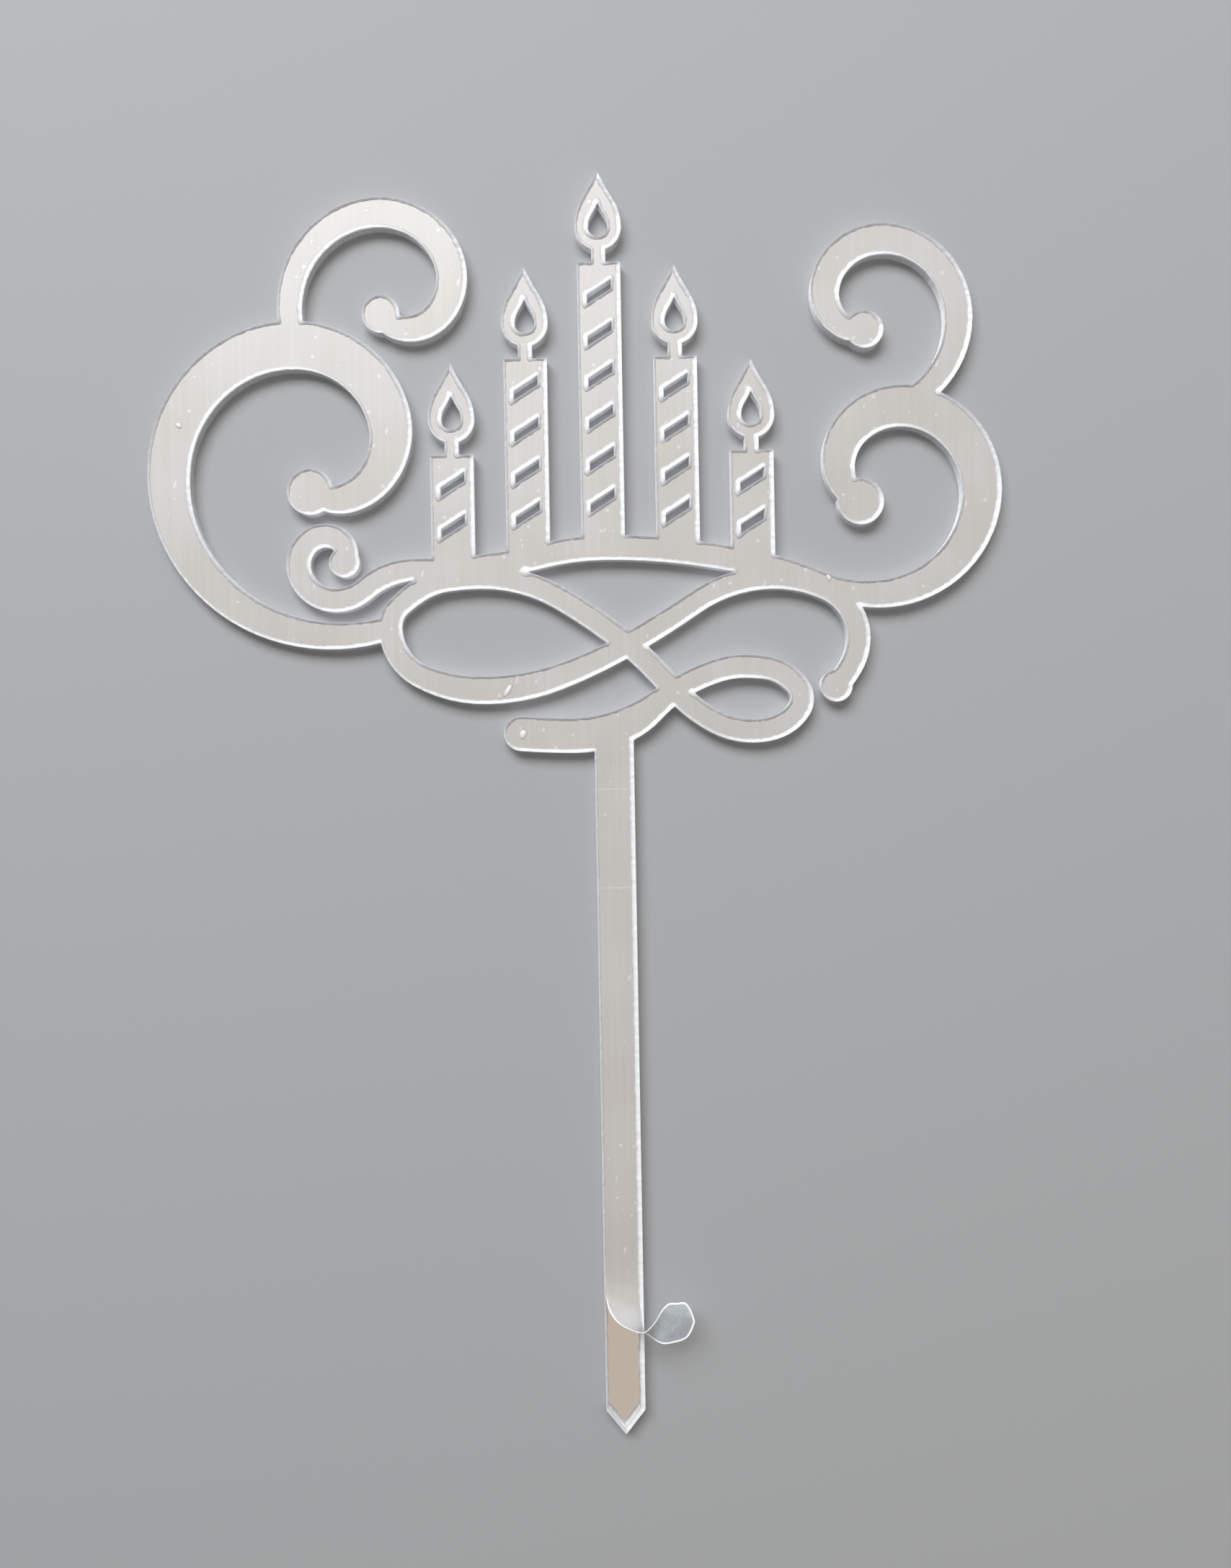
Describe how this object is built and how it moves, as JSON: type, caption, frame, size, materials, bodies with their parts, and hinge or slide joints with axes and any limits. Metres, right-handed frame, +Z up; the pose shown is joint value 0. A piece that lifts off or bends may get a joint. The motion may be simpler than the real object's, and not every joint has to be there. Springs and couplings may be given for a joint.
{
  "type": "cake topper",
  "caption": "Flat mirror-acrylic cake topper: candles and scrollwork on a looped flourish, cut in one with a pointed stake that is pushed into a cake, under a film that peels off.",
  "frame": {"origin": "the tip of the stake, at the middle of the acrylic's thickness", "axes": "+Z up along the stake, +X to the right as seen from the front, front face towards -Y"},
  "size_m": [0.1184, 0.0065, 0.1753],
  "materials": {
    "acrylic": "clear, with frosted laser-cut edges",
    "mirror": "mirror",
    "lacquer": "matt grey paint",
    "film": "satin, milky and slightly translucent"
  },
  "bodies": {
    "topper": {"acrylic_plate": "acrylic", "mirror_coat": "mirror", "back_lacquer": "lacquer"},
    "film": {"front_film": "film", "film_curl": "film"},
    "film_tab": {"film_tab": "film"}
  },
  "joints": [
    {"name": "film_lift", "type": "slide", "parent": "topper", "child": "film", "axis": [0, -1, 0], "range_m": [0, 0.02]},
    {"name": "film_tab_bend", "type": "hinge", "parent": "film", "child": "film_tab", "pos_m": [0.00274, -0.00325, 0.0151], "axis": [0, -0.9157, 0.4019], "range_deg": [-100, 40], "stiffness_Nm_per_rad": 0.000002}
  ]
}
